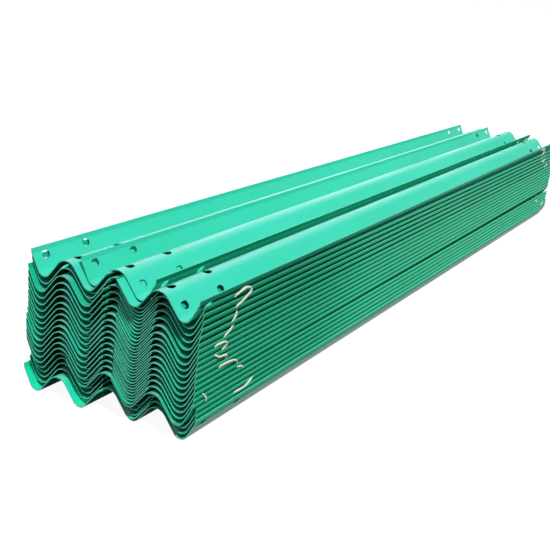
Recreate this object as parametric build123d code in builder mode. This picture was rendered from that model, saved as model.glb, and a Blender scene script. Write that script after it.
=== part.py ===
from build123d import *
from math import cos, degrees, radians, sin, sqrt, tan
import os

# Bundle of nested two-wave guardrail beams. X runs along the rails and is centred on them,
# Y runs across the bundle and Z is up from the underside of the lowest troughs.

rail_length = 4320.0
sheet = 3.0

# mid-line of one rail
wave_pitch = 194.0
trough_radius = 28.9
crest_radius = 43.9
inner_slope = 51.3
outer_slope = 61.5
lip_slope = 80.5
lip_bend_radius = 11.5
edge_offset = 57.5
edge_height = 85.6
tuck_inset = 24.0
tuck_slope = 75.0
tuck_bend_radius = 5.0

# stacking
nest_gap = 0.3
tier_count = 20
low_pitch = 20.5
high_pitch = 23.6
top_pitch = 26.0
high_from_tier = 14
top_lift = 10.7
fan_low_tier = 7
fan_low_rise = 20.0
fan_top_rise = 40.0
fan_overhang = 45.0

# slots at both ends of a rail, their long way along it
first_slot = 58.0
slot_spacing = 203.0
slot_length = 38.0
slot_width = 27.5
outer_slot_out = 47.0
inner_slot_out = 39.0
punch_reach = 12.0

# end stagger of each rail, top tier first; negative sticks out at the near end
left_stagger = [0, 4, -14, -14, -14, -12, -13, -12, -12, -14, -19, -20, -18, -18, -16, -8, 3, 6, 2, -26]
middle_stagger = [27, 19, 14, 14, 12, 8, 0, -2, -2, -2, -2, -2, -3, -2, -2, -3, -13, 29, 30, 6]
right_stagger = [-10, 15, 15, 15, 9, 3, 0, 0, 0, 0, -2, -4, -5, -3, -4, -5, -12, 15, 15, 15]

# lashing rope threaded between the outer lips, one list of (x, z) for each stretch that shows
rope_diameter = 8.0
rope_clearance = 0.3
rope_tuck = 6.0
rope_bow = 1.5
near_stretches = [
    [(-1978, 458), (-1954, 476), (-1919, 484), (-1893, 477), (-1889, 462), (-1912, 451), (-1942, 436), (-1970, 418)],
    [(-1952, 411), (-1959, 390), (-1985, 371)],
    [(-1962, 364), (-1994, 350), (-2025, 333)],
    [(-2074, 314), (-2047, 326), (-2017, 323), (-2007, 308), (-2029, 288)],
    [(-2070, 291), (-2053, 276), (-2024, 277), (-2001, 270), (-1997, 252)],
    [(-2040, 233), (-2005, 242), (-1969, 241), (-1934, 231), (-1917, 209)],
    [(-1923, 196), (-1898, 200), (-1871, 178)],
    [(-1794, 125), (-1844, 115), (-1887, 108), (-1940, 103)],
    [(-2122, 174), (-2097, 154), (-2094, 134)],
]
far_stretches = [
    [(1760, 513), (1796, 526), (1850, 511), (1804, 474)],
    [(1780, 481), (1854, 465), (1826, 443)],
    [(1798, 442), (1886, 414), (1916, 454)],
    [(1930, 379), (1962, 390), (1998, 407)],
    [(1810, 174), (1884, 142), (1926, 154)],
    [(2000, 102), (2050, 99), (2106, 125)],
]

inner, outer, lip, tuck = (radians(a) for a in (inner_slope, outer_slope, lip_slope, tuck_slope))
half_wave = wave_pitch / 2
tuck_offset = half_wave - tuck_inset
wave_depth = half_wave * tan(inner) - (trough_radius + crest_radius) * (1 / cos(inner) - 1)


def flank_z(w, slope):
    return w * tan(slope) - trough_radius * (1 / cos(slope) - 1)


def meet(tip_w, tip_z, tip_slope, slope):
    run = (flank_z(tip_w, slope) - tip_z) / (tan(slope) - tan(tip_slope))
    return tip_w - run, tip_z - run * tan(tip_slope)


def half_wave_points(room):
    """Points from the free edge to the crest, w outward from the trough; room None is a full edge."""
    if room is None:
        slope, tip = outer, (edge_offset, edge_height)
        bend = meet(*tip, lip, outer)
    else:
        slope = inner
        corner = tuck_offset - sheet / 2 * sin(tuck)
        sag = sqrt((crest_radius - sheet / 2) ** 2 - (half_wave - corner) ** 2)
        under = wave_depth - crest_radius + room + sag
        tip = (tuck_offset, under - sheet / 2 * cos(tuck) - nest_gap)
        bend = meet(*tip, tuck, inner)
    w = trough_radius * (1 / cos(slope) - 1 / cos(inner)) / (tan(inner) + tan(slope))
    return [tip, bend, (w, flank_z(w, slope))]


def rail_side(points, away):
    """The mid-line points moved square to the sheet, with mitred corners."""
    legs = [(Vector(*b) - Vector(*a)).normalized() for a, b in zip(points, points[1:])]
    legs = [legs[0]] + legs + [legs[-1]]
    moved = []
    for point, before, after in zip(points, legs, legs[1:]):
        mitre = Vector(before.Y + after.Y, -before.X - after.X)
        mitre = mitre / (1 + before.dot(after))
        moved.append((point[0] + away * mitre.X, point[1] + away * mitre.Y))
    return moved


def rail_radii(room, grow):
    return [(lip_bend_radius if room is None else tuck_bend_radius) - grow, trough_radius - grow]


def slot_places(shift, y):
    reaches = [first_slot, first_slot + slot_spacing]
    return [(shift + side * (rail_length / 2 - reach), y) for side in (-1, 1) for reach in reaches]


def make_rail(left_room, right_room):
    """One rail lying level, its sheet mid-line at z = 0 in the troughs, with slots in its four flanks."""
    crest_z = wave_depth + crest_radius * (1 / cos(inner) - 1)
    left = [(half_wave + w, z) for w, z in half_wave_points(left_room)]
    right = [(-half_wave - w, z) for w, z in reversed(half_wave_points(right_room))]
    points = left + [(0.0, crest_z)] + right
    with BuildPart() as rail:
        with BuildSketch(Plane.YZ.offset(-rail_length / 2)):
            with BuildLine():
                faces = []
                for grow in (sheet / 2, -sheet / 2):
                    radii = rail_radii(left_room, grow) + [crest_radius + grow]
                    radii += rail_radii(right_room, grow)[::-1]
                    faces.append(FilletPolyline(*rail_side(points, grow), radius=radii))
                Line(faces[0] @ 0, faces[1] @ 0)
                Line(faces[0] @ 1, faces[1] @ 1)
            make_face()
        extrude(amount=rail_length)
        for side, room in ((1, left_room), (-1, right_room)):
            out, slope = (outer_slot_out, outer) if room is None else (inner_slot_out, inner)
            for w, lean, angle in ((out, side, slope), (-inner_slot_out, -side, inner)):
                centre = (0, side * (half_wave + w), flank_z(abs(w), angle))
                face = Plane(origin=centre, x_dir=(1, 0, 0), z_dir=(0, -lean * sin(angle), cos(angle)))
                with BuildSketch(face):
                    with Locations(*slot_places(0, 0)):
                        SlotOverall(slot_length, slot_width)
                extrude(amount=punch_reach, both=True, mode=Mode.SUBTRACT)
    return rail.part


rails = {}


def rail_kind(left_room, right_room):
    key = (left_room, right_room)
    if key not in rails:
        rails[key] = make_rail(left_room, right_room)
    return rails[key]


def place_rail(shape, shift, y, z, rise):
    """Sets a rail on its tier, fanned up about the near end, and cuts its upright crest slots."""
    pivot = -rail_length / 2 - fan_overhang
    lean = rise / (rail_length + fan_overhang)
    with Locations(Location((pivot, y, z), (0, -degrees(lean), 0))):
        with Locations((shift - pivot, 0, 0)):
            add(shape)
    with BuildSketch(Plane.XY.offset(z + wave_depth - punch_reach)) as slots:
        with Locations(*slot_places(shift, y)):
            SlotOverall(slot_length, slot_width)
    extrude(slots.sketch, amount=2 * punch_reach + rise, mode=Mode.SUBTRACT)


os.makedirs("parts", exist_ok=True)
pitches = [low_pitch] * (high_from_tier - 1) + [high_pitch] * (tier_count - 1 - high_from_tier) + [top_pitch]
height = sheet / 2
for tier in range(1, tier_count + 1):
    last = tier == tier_count
    pitch = 0 if last else pitches[tier - 1]
    lift = top_lift if last else pitch / 2
    rise = fan_top_rise if last else fan_low_rise if tier >= fan_low_tier else 0.0
    place = tier_count - tier

    with BuildPart() as outer_rails:
        place_rail(rail_kind(None, lift), left_stagger[place], wave_pitch, height, rise)
        place_rail(rail_kind(lift, None), right_stagger[place], -wave_pitch, height, rise)
    outer_rails.part.label = f"outer_rails_tier_{tier:02d}"
    export_step(outer_rails.part, f"parts/outer_rails_tier_{tier:02d}.step")

    room = None if last else pitch - lift
    with BuildPart() as middle_rail:
        place_rail(rail_kind(room, room), middle_stagger[place], 0, height + lift, rise)
    middle_rail.part.label = f"middle_rail_tier_{tier:02d}"
    export_step(middle_rail.part, f"parts/middle_rail_tier_{tier:02d}.step")
    height += pitch

# outermost face of the lips, which the rope lies against
wall = wave_pitch + half_wave + edge_offset + sheet / 2 * sin(lip)


def rope_route(stretch, side):
    """A stretch's points in space: both ends dive behind the lips and the middle bows out."""
    route = []
    for index, (x, z) in enumerate(stretch):
        away = rope_diameter / 2 + rope_clearance + rope_bow * min(index, len(stretch) - 1 - index)
        if index in (0, len(stretch) - 1):
            away = -rope_tuck
        route.append(Vector(x, side * (wall + away), z))
    return route


def rope_radii(route):
    radii = []
    for before, corner, after in zip(route, route[1:], route[2:]):
        turn = radians((corner - before).get_angle(after - corner))
        shorter = min((corner - before).length, (after - corner).length)
        radii.append(0.45 * shorter / tan(turn / 2))
    return radii


for name, stretches in (("near", near_stretches), ("far", far_stretches)):
    for word, side in (("right", -1), ("left", 1)):
        with BuildPart() as tie:
            for stretch in stretches:
                route = rope_route(stretch, side)
                with BuildLine() as path:
                    FilletPolyline(*route, radius=rope_radii(route))
                with BuildSketch(Plane(origin=path.line @ 0, z_dir=path.line % 0)):
                    Circle(rope_diameter / 2)
                sweep(path=path.line)
            face = Plane(origin=(0, side * (wall + rope_clearance), 0), z_dir=(0, side, 0))
            split(bisect_by=face, keep=Keep.TOP)
        tie.part.label = f"{word}_{name}_tie"
        export_step(tie.part, f"parts/{word}_{name}_tie.step")
        if side < 0:
            print(name, "rope radii", [round(r) for s in stretches for r in rope_radii(rope_route(s, side))])
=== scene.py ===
import math
import random
import bpy
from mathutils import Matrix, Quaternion, Vector


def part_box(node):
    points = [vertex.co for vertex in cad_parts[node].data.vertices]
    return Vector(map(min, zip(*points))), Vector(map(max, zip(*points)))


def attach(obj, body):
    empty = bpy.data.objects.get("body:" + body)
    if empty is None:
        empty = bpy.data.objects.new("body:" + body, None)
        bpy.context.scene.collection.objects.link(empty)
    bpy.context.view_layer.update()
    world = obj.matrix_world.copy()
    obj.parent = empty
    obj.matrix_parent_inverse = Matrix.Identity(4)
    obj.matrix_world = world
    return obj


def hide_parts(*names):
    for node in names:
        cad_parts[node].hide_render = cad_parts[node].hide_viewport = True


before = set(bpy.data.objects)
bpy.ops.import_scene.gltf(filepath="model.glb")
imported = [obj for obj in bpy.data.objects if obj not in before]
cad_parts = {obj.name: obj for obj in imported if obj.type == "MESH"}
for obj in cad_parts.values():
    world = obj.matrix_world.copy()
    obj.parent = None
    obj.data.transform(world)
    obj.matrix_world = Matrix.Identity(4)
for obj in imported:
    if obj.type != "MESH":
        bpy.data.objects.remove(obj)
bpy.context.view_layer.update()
bpy.ops.object.select_all(action="DESELECT")
print("frame loaded")


camera = {
    "place": (-4.3755, -1.7778, 1.4611), "yaw": 28.293, "pitch": -18.109, "roll": 5.956,
    "lens": 60.68, "sensor": 36, "clipEnd": 200,
}


def addCamera():
    yaw, pitch = math.radians(camera["yaw"]), math.radians(camera["pitch"])
    ahead = Vector((math.cos(pitch) * math.cos(yaw), math.cos(pitch) * math.sin(yaw), math.sin(pitch)))
    bpy.ops.object.camera_add(location=camera["place"])
    eye = bpy.context.object
    eye.name = "camera"
    eye.data.lens = camera["lens"]
    eye.data.sensor_width = camera["sensor"]
    eye.data.clip_end = camera["clipEnd"]
    eye.rotation_mode = "QUATERNION"
    roll = Quaternion((0, 0, 1), math.radians(camera["roll"]))
    eye.rotation_quaternion = ahead.to_track_quat("-Z", "Y") @ roll
    bpy.context.scene.camera = eye


addCamera()
print("camera placed")


# soft daylight from the near right, and a weak lamp from the far left for the far lips
studio = {
    "sun": 2.6, "sunAngle": 9, "sunFrom": (-0.30, -0.60, 1.0),
    "rim": 0.85, "rimAngle": 30, "rimFrom": (0.84, 0.42, 0.34),
    "sky": 0.34, "skyColor": (0.84, 0.96, 1, 1),
    "floorSize": 160, "floorPaint": (0.22, 0.22, 0.22, 1), "floorGlow": 0.93,
}


def addSun(name, power, angle, comesFrom):
    bpy.ops.object.light_add(type="SUN", location=(0, 0, 5))
    lamp = bpy.context.object
    lamp.name = name
    lamp.data.energy = power
    lamp.data.angle = math.radians(angle)
    lamp.rotation_mode = "QUATERNION"
    lamp.rotation_quaternion = (-Vector(comesFrom)).to_track_quat("-Z", "Y")


def joined(tree, operation, first, second=0):
    node = tree.nodes.new("ShaderNodeMath")
    node.operation = operation
    for socket, value in zip(node.inputs, (first, second)):
        if isinstance(value, (int, float)):
            socket.default_value = value
        else:
            tree.links.new(value, socket)
    return node.outputs[0]


# 1 where a surface is looked at, straight or in a reflection, and 0 where it lights the rails
def seenDirectly(tree):
    path = tree.nodes.new("ShaderNodeLightPath")
    mirrored = joined(tree, "MAXIMUM", path.outputs["Is Camera Ray"], path.outputs["Is Glossy Ray"])
    return joined(tree, "MAXIMUM", mirrored, path.outputs["Is Transmission Ray"])


def makeWorld():
    world = bpy.data.worlds.new("studio")
    bpy.context.scene.world = world
    world.use_nodes = True
    tree = world.node_tree
    tree.nodes.clear()
    out = tree.nodes.new("ShaderNodeOutputWorld")
    mix = tree.nodes.new("ShaderNodeMixShader")
    light = tree.nodes.new("ShaderNodeBackground")
    light.inputs["Color"].default_value = studio["skyColor"]
    light.inputs["Strength"].default_value = studio["sky"]
    white = tree.nodes.new("ShaderNodeBackground")
    white.inputs["Color"].default_value = (1, 1, 1, 1)
    white.inputs["Strength"].default_value = 1
    tree.links.new(seenDirectly(tree), mix.inputs[0])
    tree.links.new(light.outputs[0], mix.inputs[1])
    tree.links.new(white.outputs[0], mix.inputs[2])
    tree.links.new(mix.outputs[0], out.inputs["Surface"])


def makeFloor():
    bpy.ops.mesh.primitive_plane_add(size=studio["floorSize"], location=(0, 0, 0))
    floor = bpy.context.object
    floor.name = "floor"
    material = bpy.data.materials.new("studioFloor")
    material.use_nodes = True
    tree = material.node_tree
    tree.nodes.clear()
    out = tree.nodes.new("ShaderNodeOutputMaterial")
    paint = tree.nodes.new("ShaderNodeBsdfDiffuse")
    paint.inputs["Color"].default_value = studio["floorPaint"]
    glow = tree.nodes.new("ShaderNodeEmission")
    tree.links.new(joined(tree, "MULTIPLY", seenDirectly(tree), studio["floorGlow"]), glow.inputs["Strength"])
    both = tree.nodes.new("ShaderNodeAddShader")
    tree.links.new(paint.outputs[0], both.inputs[0])
    tree.links.new(glow.outputs[0], both.inputs[1])
    tree.links.new(both.outputs[0], out.inputs["Surface"])
    floor.data.materials.append(material)
    floor.select_set(False)


makeWorld()
makeFloor()
addSun("keyLamp", studio["sun"], studio["sunAngle"], studio["sunFrom"])
addSun("rimLamp", studio["rim"], studio["rimAngle"], studio["rimFrom"])
print("stage lit")


def newGroup(name, inputs, outputs):
    group = bpy.data.node_groups.new(name, "ShaderNodeTree")
    for label, kind, value in inputs:
        socket = group.interface.new_socket(name=label, in_out="INPUT", socket_type=kind)
        if value is not None:
            socket.default_value = value
    for label, kind in outputs:
        group.interface.new_socket(name=label, in_out="OUTPUT", socket_type=kind)
    return group, group.nodes.new("NodeGroupInput"), group.nodes.new("NodeGroupOutput")


def noiseOf(tree, vector, scale, detail, roughness=0.55):
    node = tree.nodes.new("ShaderNodeTexNoise")
    tree.links.new(vector, node.inputs["Vector"])
    if isinstance(scale, (int, float)):
        node.inputs["Scale"].default_value = scale
    else:
        tree.links.new(scale, node.inputs["Scale"])
    node.inputs["Detail"].default_value = detail
    node.inputs["Roughness"].default_value = roughness
    return node.outputs["Fac"]


def ramped(tree, value, low, high, start=0.0, end=1.0):
    node = tree.nodes.new("ShaderNodeMapRange")
    node.interpolation_type = "SMOOTHSTEP"
    for label, number in (("From Min", low), ("From Max", high), ("To Min", start), ("To Max", end)):
        node.inputs[label].default_value = number
    tree.links.new(value, node.inputs["Value"])
    return node.outputs[0]


# lays a colour over a tone where all the masks meet; a mask may be a plain share
def tinted(tree, tone, color, *masks):
    share = masks[0]
    for mask in masks[1:]:
        share = joined(tree, "MULTIPLY", share, mask)
    node = tree.nodes.new("ShaderNodeMix")
    node.data_type = "RGBA"
    for label, value in (("Factor", share), ("A", tone), ("B", color)):
        if isinstance(value, (int, float, tuple)):
            node.inputs[label].default_value = value
        else:
            tree.links.new(value, node.inputs[label])
    return node.outputs["Result"]


def stretched(tree, vector, scale):
    node = tree.nodes.new("ShaderNodeMapping")
    node.inputs["Scale"].default_value = scale
    tree.links.new(vector, node.inputs["Vector"])
    return node.outputs[0]


def bumped(tree, height, distance, strength):
    bump = tree.nodes.new("ShaderNodeBump")
    bump.inputs["Distance"].default_value = distance
    bump.inputs["Strength"].default_value = strength
    tree.links.new(height, bump.inputs["Height"])
    return bump.outputs[0]


wear = {
    "patchStretch": (0.35, 1, 1), "patches": (0.3, 0.7),
    "streakStretch": (1.2, 110, 110), "streaks": (0.35, 0.75), "specks": (0.66, 0.74),
}


def makeWeathering():
    group, given, made = newGroup(
        "weathering",
        [
            ("Vector", "NodeSocketVector", None),
            ("Patch Scale", "NodeSocketFloat", 3.0),
            ("Speck Scale", "NodeSocketFloat", 260.0),
        ],
        [("Patches", "NodeSocketFloat"), ("Streaks", "NodeSocketFloat"), ("Specks", "NodeSocketFloat")],
    )
    spot = given.outputs["Vector"]
    patches = noiseOf(group, stretched(group, spot, wear["patchStretch"]), given.outputs["Patch Scale"], 4)
    streaks = noiseOf(group, stretched(group, spot, wear["streakStretch"]), 1.0, 3)
    specks = noiseOf(group, spot, given.outputs["Speck Scale"], 2)
    group.links.new(ramped(group, patches, *wear["patches"]), made.inputs["Patches"])
    group.links.new(ramped(group, streaks, *wear["streaks"]), made.inputs["Streaks"])
    group.links.new(ramped(group, specks, *wear["specks"]), made.inputs["Specks"])
    return group


weathering = makeWeathering()


def weathered(tree, vector, patchScale, speckScale):
    node = tree.nodes.new("ShaderNodeGroup")
    node.node_tree = weathering
    tree.links.new(vector, node.inputs["Vector"])
    node.inputs["Patch Scale"].default_value = patchScale
    node.inputs["Speck Scale"].default_value = speckScale
    return node.outputs


# the green coating as it is on the top rails, which lie open on top of the bundle; the rails below use copies
# of it with shade and light painted in
topCoating = {
    "color": (0.050, 0.68, 0.495, 1), "deep": (0.028, 0.57, 0.37, 1), "evenShare": 0.6,
    "dustAndSheen": (0.25, 0.65, 0.57, 1), "dustShare": 0.22, "sheenShare": 0.38, "farShare": 0.55,
    "shade": (0.004, 0.12, 0.065, 1), "cutEnd": (0.12, 0.62, 0.44, 1), "floorReflection": (0.56, 0.68, 0.62, 1),
    "zinc": (0.34, 0.42, 0.40, 1), "zincShare": 0.5,
    "lipTop": (0.07, 0.62, 0.42, 1), "lipFace": (0.003, 0.36, 0.19, 1), "lipFar": (0.09, 0.46, 0.31, 1),
    "lipLow": (0.001, 0.10, 0.04, 1), "lipBase": (0.001, 0.10, 0.04, 1),
    "lipCreviceShade": (0.3455, 0.3468), "lipTipSheenAndWear": (0.3484, 0.3495),
    "rough": (0.42, 0.7), "specular": 0.09,
}
# the rails packed under each other: tighter bands, a deeper green that is painted shade between the sheets,
# and brighter cut ends and lip tops that are painted highlight
stackCoating = {
    **topCoating,
    "color": (0.009, 0.55, 0.34, 1), "deep": (0.004, 0.43, 0.25, 1),
    "shade": (0.0005, 0.06, 0.03, 1), "cutEnd": (0.20, 0.88, 0.62, 1),
    "lipTop": (0.11, 0.94, 0.51, 1), "lipFace": (0.010, 0.48, 0.225, 1), "lipFar": (0.19, 0.76, 0.44, 1),
    "lipLow": (0.0005, 0.04, 0.014, 1), "lipBase": (0.0005, 0.15, 0.06, 1),
    "lipCreviceShade": (0.3471, 0.3479), "lipTipSheenAndWear": (0.3484, 0.3490),
    "specular": 0.03,
}
# the lowest rails: sheets, undersides and lip crevices painted brighter, as painted light thrown up from the
# floor
lowestCoating = {
    **stackCoating,
    "color": (0.014, 0.78, 0.47, 1), "deep": (0.009, 0.70, 0.41, 1), "shade": (0.001, 0.14, 0.07, 1),
    "lipLow": (0.06, 0.48, 0.29, 1), "lipBase": (0.06, 0.48, 0.29, 1),
}
# from where to where each tone grows: first shares of a unit normal, then the wave's height, then metres;
# the two shades also say between which shares
zones = {
    "facingUp": (0.35, 1.0), "facingDown": (-0.52, -0.60), "facingAlong": (0.8, 0.95),
    "facingOut": (0.2, 0.6), "sheenTop": (0.75, 0.98), "steepLip": (0.93, 0.975), "bentLip": (0.78, 0.86),
    "sheenWave": (0.3, 0.95), "humpPitch": 0.194,
    "far": (0.2, 2.0), "atWall": (0.3400, 0.3405), "nearFloor": (0.09, 0.0),
    "alongWall": (-1.9, 0.8), "lowOnWall": (0.12, 0.34),
    "nearShade": (0.0, 0.35, 0.36, 0.0), "highShade": (0.2, 0.52, 0.0, 0.22),
}
relief = {
    "patchScale": 2.4, "speckScale": 420.0, "peelScale": 700, "peelDepth": 0.00004,
    "rollStretch": (2.5, 40, 40), "rollDepth": 0.0004, "strength": 0.6,
}


# place and normal of the surface, with both side walls read alike
def readSurface(tree):
    spot = tree.nodes.new("ShaderNodeTexCoord").outputs["Object"]
    place = tree.nodes.new("ShaderNodeSeparateXYZ")
    tree.links.new(spot, place.inputs[0])
    normal = tree.nodes.new("ShaderNodeSeparateXYZ")
    tree.links.new(tree.nodes.new("ShaderNodeNewGeometry").outputs["True Normal"], normal.inputs[0])
    side = joined(tree, "SIGN", place.outputs["Y"])
    return {
        "spot": spot, "x": place.outputs["X"], "y": place.outputs["Y"], "z": place.outputs["Z"],
        "across": joined(tree, "ABSOLUTE", place.outputs["Y"]), "up": normal.outputs["Z"],
        "out": joined(tree, "MULTIPLY", normal.outputs["Y"], side),
        "along": joined(tree, "ABSOLUTE", normal.outputs["X"]),
    }


# sheet faces: rolled streaks of dust, a painted highlight as a pale sheen along the tops of the humps, deeper
# green at the far end
def sheetTone(tree, at, worn, dusty, coating):
    tone = tinted(tree, coating["deep"], coating["color"], worn["Patches"])
    tone = tinted(tree, tone, coating["color"], coating["evenShare"])
    tone = tinted(tree, tone, coating["dustAndSheen"], dusty, coating["dustShare"])
    # painted highlight: the pale dust colour laid as a sheen along the tops of the humps
    wave = joined(tree, "COSINE", joined(tree, "MULTIPLY", at["y"], math.tau / zones["humpPitch"]))
    hump = ramped(tree, wave, *zones["sheenWave"])
    level = ramped(tree, at["up"], *zones["sheenTop"])
    tone = tinted(tree, tone, coating["dustAndSheen"], hump, level, coating["sheenShare"])
    return tinted(tree, tone, coating["deep"], ramped(tree, at["x"], *zones["far"]), coating["farShare"])


# outward faces of the lips, a darker green than the sheets as painted shade on the steep wall: a painted
# highlight along the top edge, painted shade low down in the crevice where the next lip begins, and more
# painted shade near the near end and high up
def lipTone(tree, at, coating):
    alongWall = ramped(tree, at["x"], *zones["alongWall"])
    plain = tinted(tree, coating["lipFace"], coating["lipFar"], alongWall)
    creviceShade = tinted(tree, coating["lipBase"], coating["lipLow"], ramped(tree, at["z"], *zones["lowOnWall"]))
    # painted shade: a dark crevice colour low on each lip, above the tip of the next lip
    tone = tinted(tree, creviceShade, plain, ramped(tree, at["across"], *coating["lipCreviceShade"]))
    # painted highlight: a bright band along the lip's top edge, where the zinc chips below also sit
    tone = tinted(tree, tone, coating["lipTop"], ramped(tree, at["across"], *coating["lipTipSheenAndWear"]))
    tone = tinted(tree, coating["lipFace"], tone, ramped(tree, at["across"], *zones["atWall"]))
    nearShade = ramped(tree, alongWall, *zones["nearShade"])
    shaded = joined(tree, "ADD", nearShade, ramped(tree, at["z"], *zones["highShade"]))
    return tinted(tree, tone, coating["lipLow"], shaded)


def lipMask(tree, at):
    steep = ramped(tree, at["out"], *zones["steepLip"])
    bent = ramped(tree, at["out"], *zones["bentLip"])
    atWall = ramped(tree, at["across"], *zones["atWall"])
    return joined(tree, "MAXIMUM", steep, joined(tree, "MULTIPLY", bent, atWall))


def makeCoating(name, coating):
    material = bpy.data.materials.new(name)
    material.use_nodes = True
    tree = material.node_tree
    shader = tree.nodes["Principled BSDF"]
    at = readSurface(tree)
    worn = weathered(tree, at["spot"], relief["patchScale"], relief["speckScale"])
    dusty = joined(tree, "MULTIPLY", ramped(tree, at["up"], *zones["facingUp"]), worn["Streaks"])
    under = ramped(tree, at["up"], *zones["facingDown"])
    lips = lipMask(tree, at)
    ends = ramped(tree, at["along"], *zones["facingAlong"])

    # painted shade: faces turned downwards take the near-black shade colour
    tone = tinted(tree, sheetTone(tree, at, worn, dusty, coating), coating["shade"], under)
    tone = tinted(tree, tone, lipTone(tree, at, coating), lips)
    # painted reflection: outward faces just above the floor turn greyish, as if mirroring the white floor
    low = ramped(tree, at["z"], *zones["nearFloor"])
    tone = tinted(tree, tone, coating["floorReflection"], low, ramped(tree, at["out"], *zones["facingOut"]))
    edge = ramped(tree, at["across"], *coating["lipTipSheenAndWear"])
    tone = tinted(tree, tone, coating["zinc"], worn["Specks"], edge, coating["zincShare"])
    # end faces take their own tone; in the rails below the top it is brighter than the sheets, a painted
    # highlight on the cut ends
    tone = tinted(tree, tone, coating["cutEnd"], ends)
    tree.links.new(tone, shader.inputs["Base Color"])

    rough = ramped(tree, joined(tree, "MAXIMUM", dusty, lips), 0, 1, *coating["rough"])
    dull = joined(tree, "MAXIMUM", under, ends)
    tree.links.new(joined(tree, "MAXIMUM", rough, dull), shader.inputs["Roughness"])
    shader.inputs["Specular IOR Level"].default_value = coating["specular"]
    peel = joined(tree, "MULTIPLY", noiseOf(tree, at["spot"], relief["peelScale"], 2), relief["peelDepth"])
    rolled = noiseOf(tree, stretched(tree, at["spot"], relief["rollStretch"]), 1.0, 2)
    height = joined(tree, "ADD", peel, joined(tree, "MULTIPLY", rolled, relief["rollDepth"]))
    tree.links.new(bumped(tree, height, 1, relief["strength"]), shader.inputs["Normal"])
    return material


topGreen = makeCoating("topGreen", topCoating)
stackGreen = makeCoating("stackGreen", stackCoating)
lowestGreen = makeCoating("lowestGreen", lowestCoating)
for name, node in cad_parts.items():
    for slot in node.material_slots:
        slot.material = {"20": topGreen, "01": lowestGreen}.get(name[-2:], stackGreen)
print("coating applied")


# three-strand straw rope threaded between the lips, in stretches that dive behind them at both ends
rope = {
    "diameter": 0.008, "clearance": 0.0003, "tuck": 0.006, "bow": 0.0015, "lay": 0.026, "strands": 3,
    "routeDetail": 10, "stepsPerTurn": 12, "roundness": 3, "weld": 0.000001, "sunk": 0.0015,
    "smoothAngle": 50,
    "strays": 7, "strayLength": 0.011, "strayRadius": 0.00016, "strayMargin": 4, "straySeed": 7,
    "strayShare": (0.4, 1), "strayBend": 0.56, "strayLift": (0.55, 0.8),
}
nearStretches = [
    [(-1.978, 0.458), (-1.954, 0.476), (-1.919, 0.484), (-1.893, 0.477), (-1.889, 0.462), (-1.912, 0.451),
     (-1.942, 0.436), (-1.970, 0.418)],
    [(-1.952, 0.411), (-1.959, 0.390), (-1.985, 0.371)],
    [(-1.962, 0.364), (-1.994, 0.350), (-2.025, 0.333)],
    [(-2.074, 0.314), (-2.047, 0.326), (-2.017, 0.323), (-2.007, 0.308), (-2.029, 0.288)],
    [(-2.070, 0.291), (-2.053, 0.276), (-2.024, 0.277), (-2.001, 0.270), (-1.997, 0.252)],
    [(-2.040, 0.233), (-2.005, 0.242), (-1.969, 0.241), (-1.934, 0.231), (-1.917, 0.209)],
    [(-1.923, 0.196), (-1.898, 0.200), (-1.871, 0.178)],
    [(-1.794, 0.125), (-1.844, 0.115), (-1.887, 0.108), (-1.940, 0.103)],
    [(-2.122, 0.174), (-2.097, 0.154), (-2.094, 0.134)],
]
farStretches = [
    [(1.760, 0.513), (1.796, 0.526), (1.850, 0.511), (1.804, 0.474)],
    [(1.780, 0.481), (1.854, 0.465), (1.826, 0.443)],
    [(1.798, 0.442), (1.886, 0.414), (1.916, 0.454)],
    [(1.930, 0.379), (1.962, 0.390), (1.998, 0.407)],
    [(1.810, 0.174), (1.884, 0.142), (1.926, 0.154)],
    [(2.000, 0.102), (2.050, 0.099), (2.106, 0.125)],
]
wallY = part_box("outer_rails_tier_20")[1][1]


# a stretch's smooth line, read from a spline that its points steer
def ropeLine(stretch, side):
    data = bpy.data.curves.new("route", "CURVE")
    data.dimensions = "3D"
    data.resolution_u = rope["routeDetail"]
    spline = data.splines.new("NURBS")
    spline.points.add(len(stretch) - 1)
    last = len(stretch) - 1
    for index, (x, z) in enumerate(stretch):
        away = rope["diameter"] / 2 + rope["clearance"] + rope["bow"] * min(index, last - index)
        if index in (0, last):
            away = -rope["tuck"]
        spline.points[index].co = (x, side * (wallY + away), z, 1)
    spline.order_u = 3
    spline.use_endpoint_u = True
    route = bpy.data.objects.new("route", data)
    mesh = bpy.data.meshes.new_from_object(route)
    line = [v.co.copy() for v in mesh.vertices]
    bpy.data.meshes.remove(mesh)
    bpy.data.objects.remove(route)
    bpy.data.curves.remove(data)
    return evenly(line, rope["lay"] / rope["stepsPerTurn"])


def evenly(line, step):
    points, travelled, wanted = [line[0]], 0.0, step
    for a, b in zip(line, line[1:]):
        length = (b - a).length
        while travelled + length >= wanted:
            points.append(a.lerp(b, (wanted - travelled) / length))
            wanted += step
        travelled += length
    return points


# at each point: the way ahead and two directions square to it, carried along without a twist
def ropeFrames(line):
    frames, across = [], Vector((0, 0, 1))
    for index, point in enumerate(line):
        ahead = (line[min(index + 1, len(line) - 1)] - line[max(index - 1, 0)]).normalized()
        across = (across - ahead * across.dot(ahead)).normalized()
        frames.append((point, ahead, across, ahead.cross(across)))
    return frames


def addSpline(data, points, thick):
    spline = data.splines.new("POLY")
    spline.points.add(len(points) - 1)
    for target, point in zip(spline.points, points):
        target.co = (*point, 1)
        target.radius = thick


def addStrand(data, frames, start, offset, strandRadius):
    points = []
    for index, (point, ahead, across, up) in enumerate(frames):
        turn = math.tau * (index / rope["stepsPerTurn"] + start)
        points.append(point + offset * (math.cos(turn) * across + math.sin(turn) * up))
    addSpline(data, points, strandRadius)


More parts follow.
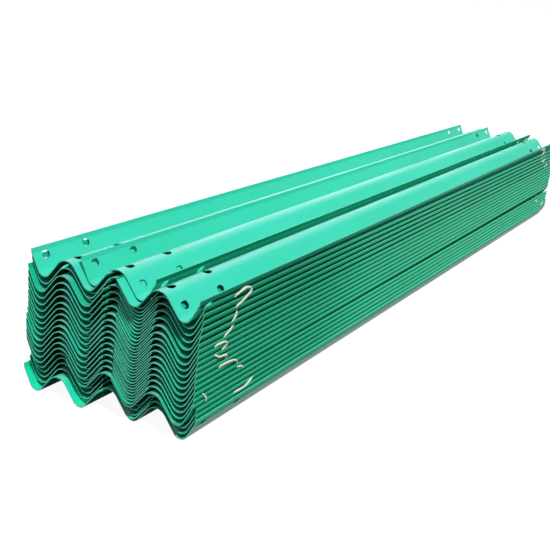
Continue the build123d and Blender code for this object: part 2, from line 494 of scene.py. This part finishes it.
# a loose fibre that leaves the strands at a low angle
def addStray(data, frames, offset, dice):
    margin = rope["strayMargin"]
    point, ahead, across, up = frames[dice.randrange(margin, len(frames) - margin)]
    turn = dice.uniform(0, math.tau)
    out = math.cos(turn) * across + math.sin(turn) * up
    reach = dice.uniform(*rope["strayShare"]) * rope["strayLength"]
    lean = dice.choice((-1, 1)) * ahead
    middle = point + out * rope["diameter"] * rope["strayBend"] + lean * reach * 0.5
    tip = point + out * rope["diameter"] * dice.uniform(*rope["strayLift"]) + lean * reach
    addSpline(data, [point + out * offset, middle, tip], rope["strayRadius"])


def cutBehindLips(side):
    behind = (0, side * (wallY - rope["sunk"]), 0)
    bpy.ops.object.mode_set(mode="EDIT")
    bpy.ops.mesh.select_all(action="SELECT")
    bpy.ops.mesh.remove_doubles(threshold=rope["weld"])
    bpy.ops.mesh.bisect(plane_co=behind, plane_no=(0, side, 0), use_fill=True, clear_inner=True)
    bpy.ops.mesh.select_all(action="DESELECT")
    bpy.ops.object.mode_set(mode="OBJECT")


def makeRope(name, stretches, side):
    dice = random.Random(rope["straySeed"])
    data = bpy.data.curves.new(name, "CURVE")
    data.dimensions = "3D"
    data.bevel_depth = 1
    data.bevel_resolution = rope["roundness"]
    data.use_fill_caps = True
    strandRadius = rope["diameter"] / 2 / (1 + 2 / math.sqrt(3))  # three touching strands in one circle
    offset = rope["diameter"] / 2 - strandRadius
    for stretch in stretches:
        frames = ropeFrames(ropeLine(stretch, side))
        for strand in range(rope["strands"]):
            addStrand(data, frames, strand / rope["strands"], offset, strandRadius)
        for stray in range(rope["strays"]):
            addStray(data, frames, offset, dice)
    piece = bpy.data.objects.new(name, data)
    bpy.context.collection.objects.link(piece)
    bpy.ops.object.select_all(action="DESELECT")
    bpy.context.view_layer.objects.active = piece
    piece.select_set(True)
    bpy.ops.object.convert(target="MESH")
    piece = bpy.context.object
    cutBehindLips(side)
    bpy.ops.object.shade_smooth_by_angle(angle=math.radians(rope["smoothAngle"]))
    piece.select_set(False)
    return piece


straw = {
    "straw": (0.80, 0.76, 0.58, 1), "pale": (0.96, 0.95, 0.86, 1), "dark": (0.30, 0.22, 0.10, 1),
    "fibreStretch": (60, 14, 1), "fibres": (0.3, 0.7), "patchScale": 90.0, "patchShare": 0.35,
    "speckScale": 900.0, "speckShare": 0.4, "rough": 0.85, "specular": 0.2, "depth": 0.0004,
}


def makeStraw():
    material = bpy.data.materials.new("strawRope")
    material.use_nodes = True
    tree = material.node_tree
    shader = tree.nodes["Principled BSDF"]
    texture = tree.nodes.new("ShaderNodeTexCoord").outputs
    worn = weathered(tree, texture["Object"], straw["patchScale"], straw["speckScale"])
    fibres = noiseOf(tree, stretched(tree, texture["UV"], straw["fibreStretch"]), 1.0, 3, 0.7)
    tone = tinted(tree, straw["straw"], straw["pale"], ramped(tree, fibres, *straw["fibres"]))
    tone = tinted(tree, tone, straw["straw"], worn["Patches"], straw["patchShare"])
    tone = tinted(tree, tone, straw["dark"], worn["Specks"], straw["speckShare"])
    tree.links.new(tone, shader.inputs["Base Color"])
    shader.inputs["Roughness"].default_value = straw["rough"]
    shader.inputs["Specular IOR Level"].default_value = straw["specular"]
    tree.links.new(bumped(tree, fibres, straw["depth"], 1), shader.inputs["Normal"])
    return material


strawRope = makeStraw()
for word, side in (("right", -1), ("left", 1)):
    for end, stretches in (("near", nearStretches), ("far", farStretches)):
        piece = makeRope(f"{word}{end.capitalize()}Rope", stretches, side)
        piece.data.materials.append(strawRope)
        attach(piece, "root")
        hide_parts(f"{word}_{end}_tie")
print("rope tied")

bpy.context.scene.view_settings.view_transform = "Standard"
